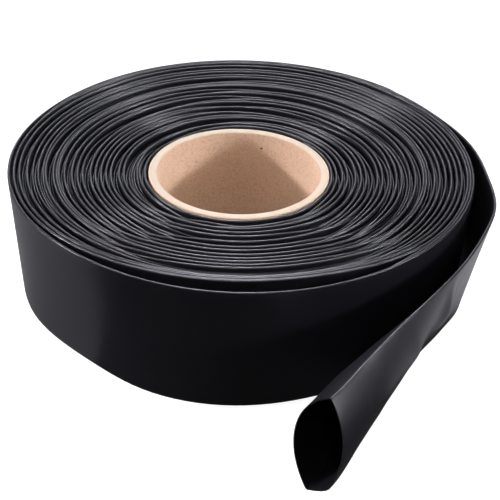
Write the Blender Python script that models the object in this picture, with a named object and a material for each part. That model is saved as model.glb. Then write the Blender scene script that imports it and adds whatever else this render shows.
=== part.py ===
"""A roll of flat heat shrink tube on a cardboard core, lying on its end, with the free end unwound.

Metres, +Z up. Everything is worked out about the core's axis, and the last step moves the roll
so that the origin is under the middle of its footprint.
"""

import math

import bmesh
import bpy
import numpy as np
from mathutils import Matrix, Vector

# Cardboard core, cut as long as the tube is wide, plus what it stands proud
CORE_BORE_RADIUS = 0.0381
CORE_WALL = 0.0041
CORE_STANDS_PROUD = 0.0
CORE_EDGE = 0.0005

# The tube as it is sold, pressed flat between two folds
FLAT_WIDTH = 0.0600
TUBE_WALL = 0.00055
FOLD_SLACK = 0.00007

# The winding
TURNS = 53
CORE_CLEARANCE = 0.0003
RIM_FLARE = 0.0042
OUTER_LIFT = 0.0035
LIFT_STARTS = 0.35
WINDING_DRIFT = Vector((0.0021, 0.0035, 0.0))

# The turns that stand proud on the ends, drawn as ridges
RIDGES = 13
RIM_GROOVE = 0.0016
FOOT_GROOVE = 0.0009

# The free end: angle round the roll in degrees, distance of its middle from the outermost
# turn's middle, and how far its upper fold leans out past its lower one
FREE_END_ROUTE = (
    (44.0, -0.0016, 0.0040),
    (28.0, -0.0006, 0.0040),
    (12.0, 0.0028, 0.0040),
    (-3.0, 0.0038, 0.0075),
    (-16.0, 0.0063, 0.0120),
    (-28.0, 0.0061, 0.0160),
    (-40.0, 0.0076, 0.0185),
    (-52.0, 0.0140, 0.0170),
    (-63.0, 0.0235, 0.0150),
    (-72.0, 0.0375, 0.0130),
    (-78.5, 0.0560, 0.0100),
)
FREE_END_STEPS = 34
OPENING_STARTS = 0.53
MOUTH_HALF_ARC = 0.86
MOUTH_SLANT = math.radians(9)
MOUTH_FOOT = 0.0003
BORE_STARTS_OPEN = 0.0006

# Fineness of the round shapes
ROUND_STEPS = 64
FOLD_TO_FOLD_STEPS = 8

PITCH = 2 * (TUBE_WALL + FOLD_SLACK)
CORE_RADIUS = CORE_BORE_RADIUS + CORE_WALL
CORE_LENGTH = FLAT_WIDTH + CORE_STANDS_PROUD
INNER_RADIUS = CORE_RADIUS + CORE_CLEARANCE
RIM_RADIUS = INNER_RADIUS + TURNS * PITCH


def smooth(share):
    """Eases from 0 to 1, level at both ends."""
    share = min(max(share, 0.0), 1.0)
    return share * share * (3 - 2 * share)


def lift(share):
    """How far the turns at this share of the build have ridden up off the floor."""
    return OUTER_LIFT * smooth((share - LIFT_STARTS) / (1 - LIFT_STARTS))


def in_winding(share, height, angle):
    """A point in the winding: share of the way out, height above the turn's lower fold, angle round."""
    flare = share * RIM_FLARE * (1 - height / FLAT_WIDTH)
    radius = INNER_RADIUS + share * (RIM_RADIUS - INNER_RADIUS) - flare
    spot = Vector((radius * math.cos(angle), radius * math.sin(angle), height + lift(share)))
    return spot + share * WINDING_DRIFT


def through(rows, count):
    """That many evenly spread values on a Catmull-Rom curve through the rows."""
    knots = np.array([rows[0], *rows, rows[-1]])
    values = []
    for at in np.linspace(0, len(rows) - 1, count):
        start = min(int(at), len(rows) - 2)
        t = at - start
        before, first, last, after = knots[start : start + 4]
        values.append(
            0.5
            * (
                2 * first
                + (last - before) * t
                + (2 * before - 5 * first + 4 * last - after) * t**2
                + (3 * (first - last) + after - before) * t**3
            )
        )
    return values


def mesh_object(name, rings, material, joined_ends):
    """A closed body from equal rings of points: a torus of rings, or a run of rings with capped ends."""
    shape = bmesh.new()
    corners = [[shape.verts.new(spot) for spot in ring] for ring in rings]
    pairs = list(zip(corners, corners[1:]))
    if joined_ends:
        pairs.append((corners[-1], corners[0]))
    for one, other in pairs:
        for i in range(len(one)):
            j = (i + 1) % len(one)
            shape.faces.new((one[i], one[j], other[j], other[i]))
    if not joined_ends:
        shape.faces.new(corners[0])
        shape.faces.new(corners[-1])
    bmesh.ops.recalc_face_normals(shape, faces=shape.faces)
    mesh = bpy.data.meshes.new(name)
    shape.to_mesh(mesh)
    shape.free()
    mesh.materials.append(material)
    mesh.shade_smooth()
    mesh.set_sharp_from_angle(angle=math.radians(30))
    made = bpy.data.objects.new(name, mesh)
    bpy.context.collection.objects.link(made)
    return made


def finish(name, colour, roughness):
    """A plain non-metal material."""
    material = bpy.data.materials.new(name)
    material.use_nodes = True
    shader = material.node_tree.nodes["Principled BSDF"]
    shader.inputs["Base Color"].default_value = (*colour, 1)
    shader.inputs["Roughness"].default_value = roughness
    shader.inputs["Metallic"].default_value = 0
    return material


def make_core(material):
    """The cardboard core: a plain turned tube with its four edges lightly broken."""
    inner, outer, edge, length = CORE_BORE_RADIUS, CORE_RADIUS, CORE_EDGE, CORE_LENGTH
    outline = (
        (inner + edge, 0),
        (inner, edge),
        (inner, length - edge),
        (inner + edge, length),
        (outer - edge, length),
        (outer, length - edge),
        (outer, edge),
        (outer - edge, 0),
    )
    rings = []
    for step in range(ROUND_STEPS):
        angle = math.tau * step / ROUND_STEPS
        rings.append([Vector((r * math.cos(angle), r * math.sin(angle), z)) for r, z in outline])
    return mesh_object("cardboard_core", rings, material, joined_ends=True)


def winding_outline():
    """The winding's section as (share of the build, height), up the bore, out over the rim and back."""
    rim, foot = [], []
    for ridge in range(RIDGES):
        groove = ridge / (RIDGES - 0.5)
        crest = (ridge + 0.5) / (RIDGES - 0.5)
        rim += [(groove, FLAT_WIDTH - RIM_GROOVE), (crest, FLAT_WIDTH)]
        foot += [(groove, FOOT_GROOVE), (crest, 0.0)]
    return rim + foot[::-1]


def make_winding(material):
    """The wound turns: one turned solid with its bore, whose ends show the turns as ridges."""
    outline = winding_outline()
    rings = []
    for step in range(ROUND_STEPS):
        angle = math.tau * step / ROUND_STEPS
        rings.append([in_winding(share, height, angle) for share, height in outline])
    return mesh_object("heat_shrink_tube", rings, material, joined_ends=True)


class Station:
    """One cross-section of the free end: where its lower fold is, and its axes."""

    def __init__(self, share, angle, stand_off, lean, heading):
        opened = smooth((share - OPENING_STARTS) / (1 - OPENING_STARTS))
        self.half_arc = MOUTH_HALF_ARC * opened
        chord = FLAT_WIDTH * math.sin(self.half_arc) / self.half_arc if self.half_arc else FLAT_WIDTH
        rise = math.sqrt(chord**2 - lean**2)
        slant = Matrix.Rotation(-MOUTH_SLANT * opened, 3, "Z")
        outward = slant @ Vector((-heading.y, heading.x, 0)).normalized()
        foot_height = OUTER_LIFT + (MOUTH_FOOT - OUTER_LIFT) * smooth(share)
        self.foot = middle_of(angle, stand_off) - outward * (lean / 2) + Vector((0, 0, foot_height))
        self.across = outward * lean + Vector((0, 0, rise))
        self.outward = (outward * rise - Vector((0, 0, lean))).normalized()

    def bulge(self, along):
        """Half the inside width at this share of the way from fold to fold: an arc as long as the wall."""
        if not self.half_arc:
            return 0.0
        radius = FLAT_WIDTH / (2 * self.half_arc)
        offset = (2 * along - 1) * radius * math.sin(self.half_arc)
        return math.sqrt(radius**2 - offset**2) - radius * math.cos(self.half_arc)

    def ring(self, skin):
        """The section's outline: skin is the wall for its outer face, and 0 for its bore."""
        inset = (TUBE_WALL - skin) / FLAT_WIDTH
        sides = []
        for side in (1, -1):
            edge = []
            for step in range(FOLD_TO_FOLD_STEPS + 1):
                along = step / FOLD_TO_FOLD_STEPS
                reach = inset + along * (1 - 2 * inset)
                width = FOLD_SLACK + self.bulge(along) + skin
                edge.append(self.foot + self.across * reach + self.outward * (side * width))
            sides.append(edge)
        return sides[0] + sides[1][::-1]


def middle_of(angle, stand_off):
    """A point on the floor plan, this far outside the outermost turn's mid-height."""
    rim_middle = in_winding(1.0, FLAT_WIDTH / 2, angle)
    away = Vector((math.cos(angle), math.sin(angle), 0))
    spot = rim_middle + away * stand_off
    return Vector((spot.x, spot.y, 0))


def free_end_stations():
    """The free end's cross-sections, from inside the outermost turn to the open mouth."""
    route = [(math.radians(angle), *rest) for angle, *rest in FREE_END_ROUTE]
    samples = through(route, FREE_END_STEPS + 1)
    middles = [middle_of(angle, stand_off) for angle, stand_off, _ in samples]
    stations = []
    for i, (angle, stand_off, lean) in enumerate(samples):
        heading = middles[min(i + 1, FREE_END_STEPS)] - middles[max(i - 1, 0)]
        stations.append(Station(i / FREE_END_STEPS, angle, stand_off, lean, heading))
    return stations


def make_free_end(material):
    """The unwound length: flat at the roll, opening to a hollow mouth, walls at their real thickness."""
    stations = free_end_stations()
    opened = [s for s in stations if s.bulge(0.5) > BORE_STARTS_OPEN]
    outside = [s.ring(TUBE_WALL) for s in stations]
    bore = [s.ring(0.0) for s in reversed(opened)]
    return mesh_object("free_end_shape", outside + bore, material, joined_ends=False)


def join(winding, free_end):
    """The winding and its free end are one length of tube, so they are one solid."""
    union = winding.modifiers.new("free_end", "BOOLEAN")
    union.operation = "UNION"
    union.solver = "EXACT"
    union.object = free_end
    free_end.hide_render = True
    free_end.display_type = "WIRE"


def stand_on_origin(parts):
    """Moves the roll so that the middle of its footprint is over the origin."""
    corners = [vertex.co for part in parts for vertex in part.data.vertices]
    middle = [(min(c[i] for c in corners) + max(c[i] for c in corners)) / 2 for i in (0, 1)]
    for part in parts:
        part.location = Vector((-middle[0], -middle[1], 0))


def build():
    for old in list(bpy.data.objects):
        bpy.data.objects.remove(old)
    cardboard = finish("cardboard", (0.55, 0.36, 0.22), 0.85)
    polyolefin = finish("black_polyolefin", (0.015, 0.015, 0.018), 0.45)
    core = make_core(cardboard)
    winding = make_winding(polyolefin)
    free_end = make_free_end(polyolefin)
    join(winding, free_end)
    stand_on_origin([core, winding, free_end])


build()
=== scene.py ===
"""The looks of a roll of flat heat shrink tube on a cardboard core, with its free end unwound.

Metres, +Z up. The winding is one flattened tube laid in a spiral, worked out turn by turn, and
its last turn runs on into the free end, which opens to a hollow mouth.
"""

import math

import bpy
import numpy as np
from mathutils import Matrix, Vector


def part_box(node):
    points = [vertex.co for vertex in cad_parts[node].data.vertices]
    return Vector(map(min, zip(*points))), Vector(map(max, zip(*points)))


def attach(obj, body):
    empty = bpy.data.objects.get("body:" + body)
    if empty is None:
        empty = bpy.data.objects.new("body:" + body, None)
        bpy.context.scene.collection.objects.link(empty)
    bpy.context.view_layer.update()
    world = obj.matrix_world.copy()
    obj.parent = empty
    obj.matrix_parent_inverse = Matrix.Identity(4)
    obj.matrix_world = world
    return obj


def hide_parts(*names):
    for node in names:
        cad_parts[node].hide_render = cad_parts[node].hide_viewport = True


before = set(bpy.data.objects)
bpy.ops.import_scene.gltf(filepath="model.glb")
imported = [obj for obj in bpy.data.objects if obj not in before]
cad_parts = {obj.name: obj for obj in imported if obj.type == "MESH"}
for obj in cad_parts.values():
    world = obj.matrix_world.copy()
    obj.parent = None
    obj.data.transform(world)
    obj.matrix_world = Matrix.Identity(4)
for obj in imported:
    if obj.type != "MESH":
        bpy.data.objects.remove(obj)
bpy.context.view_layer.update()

# The core, as the frame has it
CORE_LOW, CORE_HIGH = (np.array(corner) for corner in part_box("cardboard_core"))
CORE_AXIS = (CORE_LOW + CORE_HIGH)[:2] / 2
CORE_RADIUS = (CORE_HIGH[0] - CORE_LOW[0]) / 2
CORE_LENGTH = CORE_HIGH[2] - CORE_LOW[2]
CORE_WALL = 0.0041
CORE_EDGE = 0.0006
CORE_EDGE_POINTS = 5
CORE_STEPS = 256
RIM_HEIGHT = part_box("heat_shrink_tube")[1][2]

# The tube, pressed flat between two folds
FLAT_WIDTH = 0.0600
TUBE_WALL = 0.00055
FOLD_SLACK = 0.00007
WOUND_HALF = 0.00052

# The winding
TURNS = 53
CORE_CLEARANCE = 0.0003
PITCH = 2 * (TUBE_WALL + FOLD_SLACK)
INNER_RADIUS = CORE_RADIUS + CORE_CLEARANCE
RIM_RADIUS = INNER_RADIUS + TURNS * PITCH
RIM_FLARE = 0.0042
OUTER_LIFT = RIM_HEIGHT - FLAT_WIDTH
LIFT_STARTS = 0.35
WINDING_DRIFT = np.array((0.0021, 0.0035))
LEAVES_AT = math.radians(44)
SPIRAL_STANDS_OUT = 0.0005
SWAY = 0.00016
SWAY_EVERY = 0.31
STEPS_A_TURN = 128
UPPER_FOLD_POINTS, LOWER_FOLD_POINTS = 7, 5

# Where the roll is fuller than round: middle angle, half width of the swelling and its height
SWELLINGS = (
    (190.0, 50.0, 0.0012),
    (268.0, 52.0, 0.0015),
    (100.0, 60.0, 0.0005),
)

# Where the roll's foot is drawn in or stands out further than its flare, given in the same way
FOOT_SWELLINGS = (
    (226.0, 26.0, -0.0020),
    (262.0, 36.0, 0.0026),
)

# What each random draw starts from
SWAY_SEED, TOP_SEED, FOOT_SEED, FRONT_SEED, FRONT_WANDERS_SEED = 5, 11, 12, 13, 17

# The last turns stand loose at the front, where the rest of the winding is drawn in
LOOSE_TURNS = 2
LOOSE_GAP = 0.0069
LOOSE_CURVE = 1.3
LOOSE_FROM, LOOSE_FULL, LOOSE_EASES, LOOSE_TO = (math.radians(a) for a in (196, 272, 278, 326))

# Along the tube the folds stand proud and lie back by turns: least and most length of a proud
# and of a deep stretch, in turns. At the front the deep stretches are longer, and where the
# front starts and ends wanders a little from turn to turn
EVEN_STRETCHES = (0.70, 1.10, 0.85, 1.75)
FRONT_STRETCHES = (0.75, 1.15, 1.30, 3.10)
FRONT_FROM, FRONT_FULL, FRONT_EASES, FRONT_TO = (math.radians(a) for a in (212, 250, 292, 335))
FRONT_WANDERS = math.radians(12)
FRONT_WANDERS_EVERY = 0.9
PROUD_RECESS = 0.0004
DEEP_RECESS_LEAST, DEEP_RECESS_MOST = 0.0022, 0.0042
STAYS_PROUD_ODDS = 0.10
RECESS_EASES = 0.22
FOOT_RECESS = 0.6

# In turns: how much of the bundle's edge and of the winding's end stay proud, and where the turn
# behind the outermost one lies back, counted from the bundle's edge
EDGE_TURNS_PROUD = 0.8
LAST_TURNS_PROUD = 1.15
PROUD_EASES = 0.10
HIDDEN_TURN_RECESS = 0.0042
HIDDEN_FROM, HIDDEN_TO, HIDDEN_EASES = 0.24, 0.72, 0.14

# A proud fold is wider than the flat tube
FOLD_SWELLS = 0.00020
SWELLS_ABOVE = 0.0012
SHOULDER_DROP = 0.0022

# The free end: angle round the roll in degrees, distance of its middle outside the roll's face
# halfway up, and how far its upper fold leans out past its lower one
FREE_END_ROUTE = (
    (44.0, -0.0006, 0.0042),
    (28.0, -0.0003, 0.0042),
    (12.0, 0.0028, 0.0042),
    (-3.0, 0.0038, 0.0075),
    (-16.0, 0.0063, 0.0120),
    (-28.0, 0.0054, 0.0160),
    (-40.0, 0.0068, 0.0185),
    (-52.0, 0.0131, 0.0170),
    (-63.0, 0.0230, 0.0150),
    (-72.0, 0.0375, 0.0130),
    (-78.9, 0.0560, 0.0100),
)
FREE_END_STEPS = 170
OPENING_STARTS = 0.53
MOUTH_HALF_ARC = 0.86
MOUTH_SLANT = math.radians(9)
MOUTH_FOOT = 0.0004
MOUTH_SAG = 0.0026
SAG_HEIGHT, SAG_SPREAD = 0.15, 0.13
BORE_STARTS = 0.60
FLATTEST_ARC = 0.001
WALL_STEPS = 26
FOLD_STEPS = 5

# Soft buckles across the free end: where each meets the lower and the upper fold, as shares of
# the way along, how far it stands out and its half width as a share
BUCKLES = (
    (0.640, 0.780, 0.0010, 0.019),
    (0.540, 0.640, 0.0034, 0.016),
    (0.800, 0.870, 0.0003, 0.018),
)


def smooth(share):
    """Eases from 0 to 1, level at both ends: three squares less two cubes."""
    share = np.clip(share, 0.0, 1.0)
    return share * share * (3 - 2 * share)


def eased_between(knots, at):
    """The value at a place among evenly spaced knots, eased from each knot to the next."""
    start = np.clip(np.floor(at).astype(int), 0, len(knots) - 2)
    part = smooth(at - start)
    return knots[start] * (1 - part) + knots[start + 1] * part


def angle_of(turn):
    """The angle round the roll after that many turns, counted clockwise up to where the tube leaves."""
    return LEAVES_AT + math.tau * (TURNS - turn)


def lift(share):
    """How far the turns at this share of the build have ridden up off the floor."""
    return OUTER_LIFT * smooth((share - LIFT_STARTS) / (1 - LIFT_STARTS))


def drawn_in(turn, angle):
    """How far a turn lies inside its even spiral: the loose gap, times its share of the build."""
    angle = np.mod(angle, math.tau)
    opens = smooth((angle - LOOSE_FROM) / (LOOSE_FULL - LOOSE_FROM)) ** LOOSE_CURVE
    closes = smooth((LOOSE_TO - angle) / (LOOSE_TO - LOOSE_EASES))
    bundle = np.where(turn < TURNS - LOOSE_TURNS, turn / (TURNS - LOOSE_TURNS), 0.0)
    return LOOSE_GAP * opens * closes * bundle


def fuller(angle, swellings):
    """How far the full roll stands out of round: a raised cosine about each swelling's middle."""
    total = np.zeros_like(angle)
    for middle, width, tall in swellings:
        away = np.degrees(np.abs(np.mod(angle - math.radians(middle) + math.pi, math.tau) - math.pi))
        total = total + tall * (1 + np.cos(np.pi * np.minimum(away / width, 1))) / 2
    return total


def wandering(turn, reach, every, seed):
    """A value that strays up to its reach either way, eased between draws that far apart in turns."""
    knots = np.random.default_rng(seed).uniform(-reach, reach, int(TURNS / every) + 3)
    return eased_between(knots, turn / every)


def winding_middle(turn, height):
    """The middle of the flattened tube: a spiral whose radius grows evenly with the turns.

    The radius is less by the flare towards the floor and by what the turn is drawn in, and more by
    the roll's swellings and the turn's own sway. The spiral's centre drifts from the core's axis
    in step with the build.
    """
    share = turn / TURNS
    angle = angle_of(turn)
    full = RIM_RADIUS + SPIRAL_STANDS_OUT + fuller(angle, SWELLINGS)
    flare = RIM_FLARE - fuller(angle, FOOT_SWELLINGS)
    radius = INNER_RADIUS + PITCH / 2 + share * (full - INNER_RADIUS - PITCH)
    radius = radius + wandering(turn, SWAY, SWAY_EVERY, SWAY_SEED)
    radius = radius - share * flare * (1 - height / FLAT_WIDTH) - drawn_in(turn, angle)
    x = CORE_AXIS[0] + share * WINDING_DRIFT[0] + radius * np.cos(angle)
    y = CORE_AXIS[1] + share * WINDING_DRIFT[1] + radius * np.sin(angle)
    return np.stack((x, y, height + lift(share)), -1)


def stretches(turn, lengths, seed):
    """How far back a fold lies: level stretches, proud and deep by turns, with an eased step between."""
    proud_least, proud_most, deep_least, deep_most = lengths
    draw = np.random.default_rng(seed)
    count = int(2 * TURNS / (proud_least + deep_least)) + 2
    is_proud = np.arange(count) % 2 == 0
    proud_lengths = draw.uniform(proud_least, proud_most, count)
    deep_lengths = draw.uniform(deep_least, deep_most, count)
    ends = np.cumsum(np.where(is_proud, proud_lengths, deep_lengths))
    proud = is_proud | (draw.random(count) < STAYS_PROUD_ODDS)
    deep = draw.uniform(DEEP_RECESS_LEAST, DEEP_RECESS_MOST, count)
    depth = np.where(proud, draw.uniform(0, PROUD_RECESS, count), deep)
    steps = smooth((turn[:, None] - ends[:-1]) / RECESS_EASES + 0.5)
    return depth[0] + steps @ np.diff(depth)


def recesses(turn):
    """How far the upper and lower folds of each turn sit in from the proud ones."""
    strays = wandering(turn, FRONT_WANDERS, FRONT_WANDERS_EVERY, FRONT_WANDERS_SEED)
    angle = np.mod(angle_of(turn), math.tau) + strays
    front = smooth((angle - FRONT_FROM) / (FRONT_FULL - FRONT_FROM))
    front = front * smooth((FRONT_TO - angle) / (FRONT_TO - FRONT_EASES))
    even_top = stretches(turn, EVEN_STRETCHES, TOP_SEED)
    front_top = stretches(turn, FRONT_STRETCHES, FRONT_SEED)
    top = even_top * (1 - front) + front_top * front
    foot = FOOT_RECESS * stretches(turn, EVEN_STRETCHES, FOOT_SEED)
    ahead = turn - (TURNS - LOOSE_TURNS)
    top = top * smooth(-(ahead + EDGE_TURNS_PROUD) / PROUD_EASES)
    hidden = smooth((ahead - HIDDEN_FROM) / PROUD_EASES) * smooth((HIDDEN_TO - ahead) / HIDDEN_EASES)
    top = np.where(ahead > 0, HIDDEN_TURN_RECESS * hidden, top)
    proud = smooth((turn - (TURNS - LAST_TURNS_PROUD)) / PROUD_EASES)
    return top * (1 - proud), foot * (1 - proud)


def mesh_piece(name, points, faces, material, sharp_from):
    """A smooth-shaded mesh object, whose edges are sharp from that many degrees."""
    mesh = bpy.data.meshes.new(name)
    mesh.from_pydata(points.tolist(), [], faces)
    mesh.validate()
    mesh.materials.append(material)
    mesh.shade_smooth()
    mesh.set_sharp_from_angle(angle=math.radians(sharp_from))
    piece = bpy.data.objects.new(name, mesh)
    bpy.context.collection.objects.link(piece)
    return piece


def ring_faces(rings, around, closed):
    """The four-cornered faces between rings of points, and a cap on each end unless the rings close."""
    ring, spot = np.meshgrid(np.arange(rings if closed else rings - 1), np.arange(around), indexing="ij")
    after = (ring + 1) % rings
    beside = (spot + 1) % around
    this_ring, next_ring = ring * around, after * around
    quads = np.stack((this_ring + spot, this_ring + beside, next_ring + beside, next_ring + spot), -1)
    faces = quads.reshape(-1, 4).tolist()
    if not closed:
        faces.append(list(range(around))[::-1])
        faces.append(list(range((rings - 1) * around, rings * around)))
    return faces


def wound_turns(material):
    """Every turn but the last: a flat section with half-round folds, carried along the spiral.

    Each ring goes up the outer wall, over the upper fold, down the inner wall and under the lower
    fold. A proud upper fold swells wider than the flat tube, from its shoulders up. A point is the
    spiral's middle at its height, moved out by its place across the section.
    """
    turn = np.linspace(0, TURNS - 1, (TURNS - 1) * STEPS_A_TURN + 1)
    top, foot = (part[:, None] for part in recesses(turn))
    over = np.linspace(0, math.pi, UPPER_FOLD_POINTS)
    under = np.linspace(math.pi, math.tau, LOWER_FOLD_POINTS)
    fold = WOUND_HALF + FOLD_SWELLS * smooth(1 - top / SWELLS_ABOVE)
    shoulder = FLAT_WIDTH - top - SHOULDER_DROP
    upper = FLAT_WIDTH - top - fold + fold * np.sin(over)
    lower = WOUND_HALF + foot + WOUND_HALF * np.sin(under)
    height = np.concatenate((shoulder, upper, shoulder, lower), 1)
    flat = np.full_like(top, WOUND_HALF)
    out = np.concatenate((flat, fold * np.cos(over), -flat, flat * np.cos(under)), 1)
    along = np.repeat(turn[:, None], height.shape[1], 1)
    points = winding_middle(along, height)
    angle = angle_of(along)
    points[..., 0] += out * np.cos(angle)
    points[..., 1] += out * np.sin(angle)
    around = height.shape[1]
    faces = ring_faces(len(turn), around, closed=False)
    return mesh_piece("wound_turns", points.reshape(-1, 3), faces, material, sharp_from=80)


def through(rows, count):
    """That many evenly spread values on a Catmull-Rom curve through the rows."""
    knots = np.array([rows[0], *rows, rows[-1]])
    at = np.linspace(0, len(rows) - 1, count)
    start = np.minimum(at.astype(int), len(rows) - 2)
    t = (at - start)[:, None]
    before, first, last, after = (knots[start + i] for i in range(4))
    curve = 2 * first + (last - before) * t
    curve = curve + (2 * before - 5 * first + 4 * last - after) * t**2
    return (curve + (3 * (first - last) + after - before) * t**3) / 2


def unit(vectors):
    """The same vectors, one long."""
    return vectors / np.linalg.norm(vectors, axis=-1, keepdims=True)


def outermost_turn_stations():
    """Share, foot, vector to the upper fold, outward direction and half arc along the last turn."""
    turn = np.linspace(TURNS - 1, TURNS, STEPS_A_TURN, endpoint=False)
    foot = winding_middle(turn, np.zeros_like(turn))
    across = winding_middle(turn, np.full_like(turn, FLAT_WIDTH)) - foot
    angle = angle_of(turn)
    away = np.stack((np.cos(angle), np.sin(angle), np.zeros_like(angle)), -1)
    up = unit(across)
    outward = unit(away - up * np.sum(away * up, -1, keepdims=True))
    return turn - TURNS, foot, across, outward, np.full_like(turn, FLATTEST_ARC)


def free_end_stations():
    """The same along the free end, from the roll to the mouth.

    The middle of the tube runs at its stand-off outside the roll. Its cross-section stands square
    to that path, turned by the slant of the cut as it opens, and leans out by its lean.
    """
    degrees, stand_off, lean = through(FREE_END_ROUTE, FREE_END_STEPS).T
    angle = np.radians(degrees)
    share = np.linspace(0, 1, FREE_END_STEPS)
    radius = RIM_RADIUS - RIM_FLARE / 2 + stand_off
    middle = np.stack((radius * np.cos(angle), radius * np.sin(angle)), -1) + CORE_AXIS + WINDING_DRIFT
    heading = unit(np.gradient(middle, axis=0))
    opened = smooth((share - OPENING_STARTS) / (1 - OPENING_STARTS))
    turned = np.arctan2(heading[:, 0], -heading[:, 1]) - MOUTH_SLANT * opened
    away = np.stack((np.cos(turned), np.sin(turned), np.zeros_like(turned)), -1)
    half_arc = np.maximum(MOUTH_HALF_ARC * opened, FLATTEST_ARC)
    chord = FLAT_WIDTH * np.sin(half_arc) / half_arc
    rise = np.sqrt(chord**2 - lean**2)
    foot = np.zeros((FREE_END_STEPS, 3))
    foot[:, :2] = middle
    foot[:, 2] = OUTER_LIFT + (MOUTH_FOOT - OUTER_LIFT) * smooth(share)
    foot -= away * (lean / 2)[:, None]
    up = np.array((0.0, 0.0, 1.0))
    across = away * lean[:, None] + up * rise[:, None]
    outward = unit(away * rise[:, None] - up * lean[:, None])
    return share, foot, across, outward, half_arc


def buckled(share, rise):
    """How far the buckles push the tube out: a bell across each one, fading to nothing at the folds."""
    total = np.zeros_like(share * rise)
    for lower, upper, tall, wide in BUCKLES:
        bell = np.exp(-(((share - lower - (upper - lower) * rise) / wide) ** 2))
        total = total + tall * bell * np.sin(np.pi * np.clip(rise, 0, 1)) ** 2
    return total


def section(share, foot, across, outward, half_arc, skin):
    """Rings of the tube's cross-section: two equal arcs that meet at the folds, each skin thick outside.

    An arc's radius is its chord over twice the sine of half its angle. A wall point is the arc's
    centre plus the radius and skin along its own direction. A fold is part of a circle of the
    skin about the point where the two arcs meet. The buckles then shift the whole section
    outward, and the outer wall sags low down as it opens.
    """
    up = unit(across)
    fold = TUBE_WALL + FOLD_SLACK
    base = foot + up * fold
    chord = (np.linalg.norm(across, axis=-1) - 2 * fold)[:, None]
    bend = half_arc[:, None]
    radius = chord / (2 * np.sin(bend))
    part = np.linspace(-1, 1, WALL_STEPS)[None]
    turn = np.linspace(0, 1, FOLD_STEPS + 2)[1:-1][None]
    rise = chord / 2 + (radius + skin) * np.sin(bend * part)
    reach = (radius + skin) * np.cos(bend * part) - radius * np.cos(bend)
    sweep = bend + (math.pi - 2 * bend) * turn
    fold_rise = skin * np.sin(sweep)
    fold_reach = skin * np.cos(sweep)
    rises = np.concatenate((rise, chord + fold_rise, rise[:, ::-1], -fold_rise), 1)
    reaches = np.concatenate((reach, fold_reach, -reach[:, ::-1], -fold_reach), 1)
    up_share = rises / chord
    sag = np.exp(-(((up_share - SAG_HEIGHT) / SAG_SPREAD) ** 2)) * (reaches > 0)
    reaches = reaches + buckled(share[:, None], up_share) + MOUTH_SAG * bend / MOUTH_HALF_ARC * sag
    return base[:, None] + up[:, None] * rises[..., None] + outward[:, None] * reaches[..., None]


def last_turn_and_free_end(material):
    """The last turn and the free end: one tube, open from the mouth back to where it is flat."""
    wound, free = outermost_turn_stations(), free_end_stations()
    stations = [np.concatenate(pair) for pair in zip(wound, free)]
    outside = section(*stations, TUBE_WALL + FOLD_SLACK)
    open_from = len(wound[0]) + int(BORE_STARTS * FREE_END_STEPS)
    bore = section(*(part[open_from:] for part in stations), FOLD_SLACK)[::-1]
    rings = np.concatenate((outside, bore))
    faces = ring_faces(len(rings), rings.shape[1], closed=False)
    points = rings.reshape(-1, 3)
    return mesh_piece("last_turn_and_free_end", points, faces, material, sharp_from=50)


def core_tube(material):
    """The core: its section, with its four corners rounded, turned about the core's axis."""
    outer, inner, edge, length = CORE_RADIUS, CORE_RADIUS - CORE_WALL, CORE_EDGE, CORE_LENGTH
    quarter = np.linspace(0, math.pi / 2, CORE_EDGE_POINTS)
    corners = (
        (outer - edge, length - edge, 0.0),
        (inner + edge, length - edge, math.pi / 2),
        (inner + edge, edge, math.pi),
        (outer - edge, edge, 1.5 * math.pi),
    )
    radius = np.concatenate([r + edge * np.cos(quarter + start) for r, _, start in corners])
    height = np.concatenate([z + edge * np.sin(quarter + start) for _, z, start in corners])
    angle = np.linspace(0, math.tau, CORE_STEPS, endpoint=False)[:, None]
    x = CORE_AXIS[0] + radius * np.cos(angle)
    y = CORE_AXIS[1] + radius * np.sin(angle)
    points = np.stack((x, y, height + 0 * angle), -1)
    faces = ring_faces(len(angle), len(radius), closed=True)
    return mesh_piece("core_tube", points.reshape(-1, 3), faces, material, sharp_from=60)


# Colours of the finishes, from the darkest to the palest of each
BLACK, WHITE = (0, 0, 0, 1), (1, 1, 1, 1)
TUBE_BLACKS = (0.0040, 0.0040, 0.0056, 1), (0.0085, 0.0085, 0.0110, 1)
KRAFT_BROWNS = (0.60, 0.41, 0.27, 1), (0.72, 0.51, 0.36, 1)
FIBRE_BROWN = (0.42, 0.26, 0.17, 1)
FLUFF_BROWN = (0.48, 0.31, 0.20, 1)
SPECK_BROWN = (0.10, 0.055, 0.035, 1)
CUT_CREAMS = (0.42, 0.335, 0.245, 1), (0.57, 0.47, 0.36, 1)
CARD_WHITE = (0.93, 0.93, 1, 1)

# The grain of the board, a metre
FIBRE_STRETCH = (60, 60, 420)
PLIES_A_METRE = 2600


class Wire:
    """A socket of a material's nodes, so that shader maths reads as Python."""

    def __init__(self, finish, socket):
        self.finish = finish
        self.socket = socket

    def maths(self, operation, *values):
        return self.finish.add("ShaderNodeMath", {"operation": operation}, dict(enumerate(values)))

    def __add__(self, other):
        return self.maths("ADD", self, other)

    __radd__ = __add__

    def __sub__(self, other):
        return self.maths("SUBTRACT", self, other)

    def __rsub__(self, other):
        return self.maths("SUBTRACT", other, self)

    def __mul__(self, other):
        return self.maths("MULTIPLY", self, other)

    def __pow__(self, other):
        return self.maths("POWER", self, other)


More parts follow.
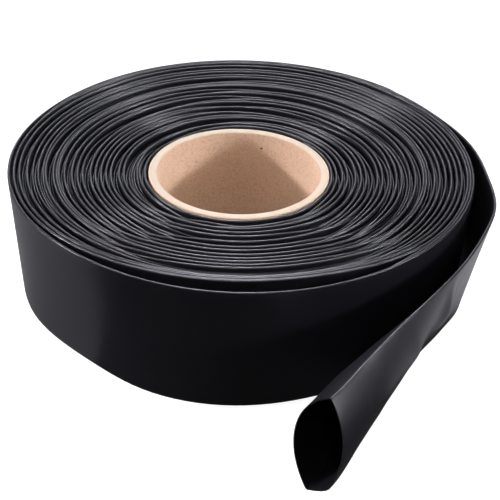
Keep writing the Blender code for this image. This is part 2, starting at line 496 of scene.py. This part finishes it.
class Finish:
    """One material: a Principled shader, and methods that add other nodes."""

    def __init__(self, name):
        self.material = bpy.data.materials.new(name)
        self.material.use_nodes = True
        self.tree = self.material.node_tree
        self.shader = self.tree.nodes["Principled BSDF"]

    def fill(self, node, sockets):
        for key, value in sockets.items():
            if isinstance(value, Wire):
                self.tree.links.new(value.socket, node.inputs[key])
            else:
                node.inputs[key].default_value = value

    def add(self, kind, settings, sockets, output=0):
        """Adds a node: its settings first, with a ramp's stops among them, then its sockets."""
        node = self.tree.nodes.new(kind)
        for key, value in settings.items():
            if key == "stops":
                for element, (place, colour) in zip(self.stops_of(node, len(value)), value):
                    element.position = place
                    element.color = colour
            else:
                setattr(node, key, value)
        self.fill(node, sockets)
        return Wire(self, node.outputs[output])

    def stops_of(self, node, count):
        """The ramp's elements, with as many added as the stops need."""
        elements = node.color_ramp.elements
        while len(elements) < count:
            elements.new(1.0)
        return elements

    def set(self, **sockets):
        """Sets or drives the shader's own sockets, named with underscores."""
        self.fill(self.shader, {key.replace("_", " "): value for key, value in sockets.items()})
        return self.material

    def places(self, centre=(0, 0, 0), stretch=(1, 1, 1)):
        """Object coordinates, moved so that the centre is at nought, then stretched."""
        coordinates = self.add("ShaderNodeTexCoord", {}, {}, "Object")
        moved = self.add("ShaderNodeVectorMath", {"operation": "SUBTRACT"}, {0: coordinates, 1: centre})
        return self.add("ShaderNodeVectorMath", {"operation": "MULTIPLY"}, {0: moved, 1: stretch})

    def axes(self, vector):
        """The three parts of a vector."""
        return [self.add("ShaderNodeSeparateXYZ", {}, {0: vector}, axis) for axis in "XYZ"]

    def noise(self, vector, scale, detail=3.0, rough=0.5):
        """Noise from nought to one, about a half."""
        sockets = {"Vector": vector, "Scale": scale, "Detail": detail, "Roughness": rough}
        return self.add("ShaderNodeTexNoise", {}, sockets, "Fac")

    def ramp(self, value, *stops):
        """A colour ramp with those stops."""
        return self.add("ShaderNodeValToRGB", {"stops": stops}, {"Fac": value}, "Color")

    def blend(self, share, one, other):
        """A mix of two colours."""
        sockets = {"Factor": share, 6: one, 7: other}
        return self.add("ShaderNodeMix", {"data_type": "RGBA"}, sockets, 2)

    def bump(self, height, depth, strength):
        """A normal from a height, whose full range is that depth in metres."""
        sockets = {"Height": height, "Distance": depth, "Strength": strength}
        return self.add("ShaderNodeBump", {}, sockets)


def black_polyolefin():
    """Satin black tube: nearly black, a little uneven in gloss and in the lie of its face."""
    finish = Finish("black_polyolefin")
    spots = finish.places()
    patches = finish.noise(spots, scale=38.0)
    ripples = finish.noise(spots, scale=90.0, detail=2.0)
    return finish.set(
        Base_Color=finish.blend(patches, *TUBE_BLACKS),
        Roughness=0.28 + patches * 0.12,
        Normal=finish.bump(ripples, depth=0.0003, strength=0.12),
    )


def core_board():
    """Kraft board: a brown fibrous bore with dark specks, and paler cut ends with the plies showing."""
    finish = Finish("cardboard")
    centre = (*CORE_AXIS, 0)
    spots = finish.places(centre)
    x, y, z = finish.axes(spots)
    radius = (x * x + y * y) ** 0.5
    lengthways = finish.places(centre, stretch=FIBRE_STRETCH)
    fibres = finish.noise(lengthways, scale=1.0, detail=4.0, rough=0.6)
    clouds = finish.noise(spots, scale=45.0)
    brown = finish.blend(clouds, *KRAFT_BROWNS)
    brown = finish.blend(fibres * 0.40, brown, FIBRE_BROWN)
    fluff = finish.noise(spots, scale=900.0)
    brown = finish.blend(finish.ramp(fluff, (0.45, BLACK), (0.75, WHITE)), brown, FLUFF_BROWN)
    grains = finish.noise(spots, scale=420.0, detail=1.0)
    specks = finish.ramp(grains, (0.765, BLACK), (0.79, WHITE))
    brown = finish.blend(specks, brown, SPECK_BROWN)
    layers = finish.add("ShaderNodeCombineXYZ", {}, {"X": radius * PLIES_A_METRE, "Z": z * 60})
    cream = finish.blend(finish.noise(layers, scale=1.0, detail=2.0), *CUT_CREAMS)
    top = (z - (CORE_LENGTH - CORE_EDGE)) * (1 / CORE_EDGE)
    foot = (CORE_EDGE - z) * (1 / CORE_EDGE)
    greater = {"operation": "MAXIMUM", "use_clamp": True}
    cut = finish.add("ShaderNodeMath", greater, {0: top, 1: foot})
    return finish.set(
        Base_Color=finish.blend(cut, brown, cream),
        Roughness=0.78 + fibres * 0.15,
        Normal=finish.bump(fibres + fluff * 0.5, depth=0.00012, strength=0.6),
    )


def place_light(name, lamp, place, aim, watts, colour):
    """A light at a place, turned to face the aim."""
    lamp.energy = watts
    lamp.color = colour
    light = bpy.data.objects.new(name, lamp)
    light.location = place
    light.rotation_euler = (Vector(aim) - Vector(place)).to_track_quat("-Z", "Y").to_euler()
    bpy.context.collection.objects.link(light)


def soft_box(name, place, width, height, watts):
    """A cool soft box that faces the roll."""
    lamp = bpy.data.lights.new(name, "AREA")
    lamp.shape = "RECTANGLE"
    lamp.size, lamp.size_y = width, height
    place_light(name, lamp, place, ROLL_MIDDLE, watts, COOL)


def spot_light(name, place, aim, cone, watts, colour):
    """A spot with a soft edge, its cone in degrees."""
    lamp = bpy.data.lights.new(name, "SPOT")
    lamp.spot_size = math.radians(cone)
    lamp.spot_blend = 0.8
    lamp.shadow_soft_size = 0.2
    place_light(name, lamp, place, aim, watts, colour)


# The lights: place, size or aim and cone, and watts. The bore's spots are placed from the core's axis
ROLL_MIDDLE = (0, 0, 0.04)
COOL, NEUTRAL = (0.91, 0.90, 1.0), (1, 1, 1)
SURROUND_STRENGTH = 0.04
SOFT_BOXES = (
    ("back_box", (-0.25, 1.15, 0.58), 1.3, 0.22, 2.8),
    ("top_box", (-0.10, 0.10, 1.00), 0.7, 0.6, 4),
    ("left_box", (-1.00, -0.05, 0.36), 0.35, 0.6, 3),
    ("right_box", (1.00, -0.25, 0.34), 0.35, 0.6, 2),
)
ROLL_SPOTS = (
    ("left_spot", (-1.00, -0.10, 0.36), (-0.090, -0.050, 0.06), 8.4, 430),
    ("right_spot", (1.00, -0.25, 0.34), (0.090, -0.042, 0.06), 8.4, 420),
    ("front_spot", (0.0, 0.90, 1.10), (0.0, -0.15, 0.06), 11, 170),
)
BORE_SPOTS = (
    ("bore_spot", (0.0, -0.62, 0.80), (0.0, 0.038, 0.030), 5.0, 310),
    ("bore_left_spot", (-0.60, -0.12, 0.80), (0.030, 0.008, 0.022), 4.2, 350),
    ("bore_right_spot", (0.60, -0.12, 0.80), (-0.030, 0.008, 0.022), 4.2, 350),
)

# The floor and its cards. The cards start just outside the tube's foot
FLOOR_REACH = 6.0
CARD_HEIGHT = 0.0002
LEFT_CARD = (
    (-0.6000, -0.2000),
    (-0.0705, -0.0502),
    (-0.0887, -0.0303),
    (-0.1035, -0.0070),
    (-0.1085, 0.0110),
    (-0.1098, 0.0300),
    (-0.0955, 0.0830),
    (-0.0570, 0.1220),
    (-0.0035, 0.1360),
    (-0.0035, 0.4000),
    (-0.6000, 0.4000),
)
RIGHT_CARD = (
    (0.074, -0.076),
    (0.600, -0.240),
    (0.600, 0.400),
    (0.122, 0.400),
    (0.110, 0.020),
    (0.094, -0.022),
    (0.080, -0.048),
)


def floor_card(name, corners, strength, dark_until, bright_from):
    """A card on the floor that only shows as a reflection, dark in front and bright further back."""
    mesh = bpy.data.meshes.new(name)
    mesh.from_pydata([(x, y, CARD_HEIGHT) for x, y in corners], [], [tuple(range(len(corners)))])
    glow = Finish(name)
    back = (glow.axes(glow.places())[1] - dark_until) * (1 / (bright_from - dark_until))
    light = glow.ramp(back, (0.0, BLACK), (1.0, CARD_WHITE))
    glow.set(Base_Color=BLACK, Emission_Color=light, Emission_Strength=strength)
    mesh.materials.append(glow.material)
    card = bpy.data.objects.new(name, mesh)
    card.visible_camera = False
    card.visible_diffuse = False
    card.visible_shadow = False
    bpy.context.collection.objects.link(card)


def pale_floor():
    """A floor that only the camera sees, bright by itself so that it stays even."""
    mesh = bpy.data.meshes.new("floor")
    reach = FLOOR_REACH
    corners = [(-reach, -reach, 0), (reach, -reach, 0), (reach, reach, 0), (-reach, reach, 0)]
    mesh.from_pydata(corners, [], [(0, 1, 2, 3)])
    paper = Finish("pale_floor")
    paper.set(
        Base_Color=(0.30, 0.30, 0.30, 1),
        Roughness=0.9,
        Emission_Color=WHITE,
        Emission_Strength=0.93,
    )
    mesh.materials.append(paper.material)
    floor = bpy.data.objects.new("floor", mesh)
    floor.visible_glossy = False
    floor.visible_diffuse = False
    bpy.context.collection.objects.link(floor)


def studio():
    """The floor, a dim even surround, soft boxes, spots on the roll and in its bore, and the cards."""
    pale_floor()
    world = bpy.data.worlds.new("surround")
    world.use_nodes = True
    world.node_tree.nodes["Background"].inputs["Color"].default_value = WHITE
    world.node_tree.nodes["Background"].inputs["Strength"].default_value = SURROUND_STRENGTH
    bpy.context.scene.world = world
    for box in SOFT_BOXES:
        soft_box(*box)
    for spot in ROLL_SPOTS:
        spot_light(*spot, COOL)
    axis = Vector((*CORE_AXIS, 0))
    for name, place, aim, cone, watts in BORE_SPOTS:
        spot_light(name, axis + Vector(place), axis + Vector(aim), cone, watts, NEUTRAL)
    floor_card("left_card", LEFT_CARD, strength=0.38, dark_until=-0.10, bright_from=0.04)
    floor_card("right_card", RIGHT_CARD, strength=0.70, dark_until=-0.10, bright_from=0.03)
    bpy.context.scene.view_settings.view_transform = "Standard"


# The camera, fitted to the photograph: it looks at the core's axis at the rim, then is turned
FOCAL_PIXELS = 1500
PHOTO_PIXELS = 500
CAMERA_DISTANCE = 0.6997
CAMERA_ELEVATION, CAMERA_PAN, CAMERA_TILT, CAMERA_ROLL = (
    math.radians(a) for a in (29.5, -0.49, -3.245, -1.27)
)


def photo_camera():
    """The camera at the photograph's viewing angle."""
    lens = bpy.data.cameras.new("camera")
    lens.sensor_width = 36
    lens.lens = FOCAL_PIXELS / PHOTO_PIXELS * lens.sensor_width
    camera = bpy.data.objects.new("camera", lens)
    back = Vector((0, -math.cos(CAMERA_ELEVATION), math.sin(CAMERA_ELEVATION)))
    place = Vector((*CORE_AXIS, RIM_HEIGHT)) + back * CAMERA_DISTANCE
    right = Vector((1, 0, 0))
    axes = Matrix((right, back.cross(right), back)).transposed()
    turn = Matrix.Rotation(CAMERA_PAN, 3, "Y") @ Matrix.Rotation(CAMERA_TILT, 3, "X")
    turn = turn @ Matrix.Rotation(-CAMERA_ROLL, 3, "Z")
    camera.matrix_world = Matrix.Translation(place) @ (axes @ turn).to_4x4()
    bpy.context.collection.objects.link(camera)
    bpy.context.scene.camera = camera


photo_camera()
studio()
tube_finish = black_polyolefin()
for tube_piece in (wound_turns(tube_finish), last_turn_and_free_end(tube_finish)):
    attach(tube_piece, "root")
    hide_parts("heat_shrink_tube")
core = core_tube(core_board())
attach(core, "root")
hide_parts("cardboard_core")
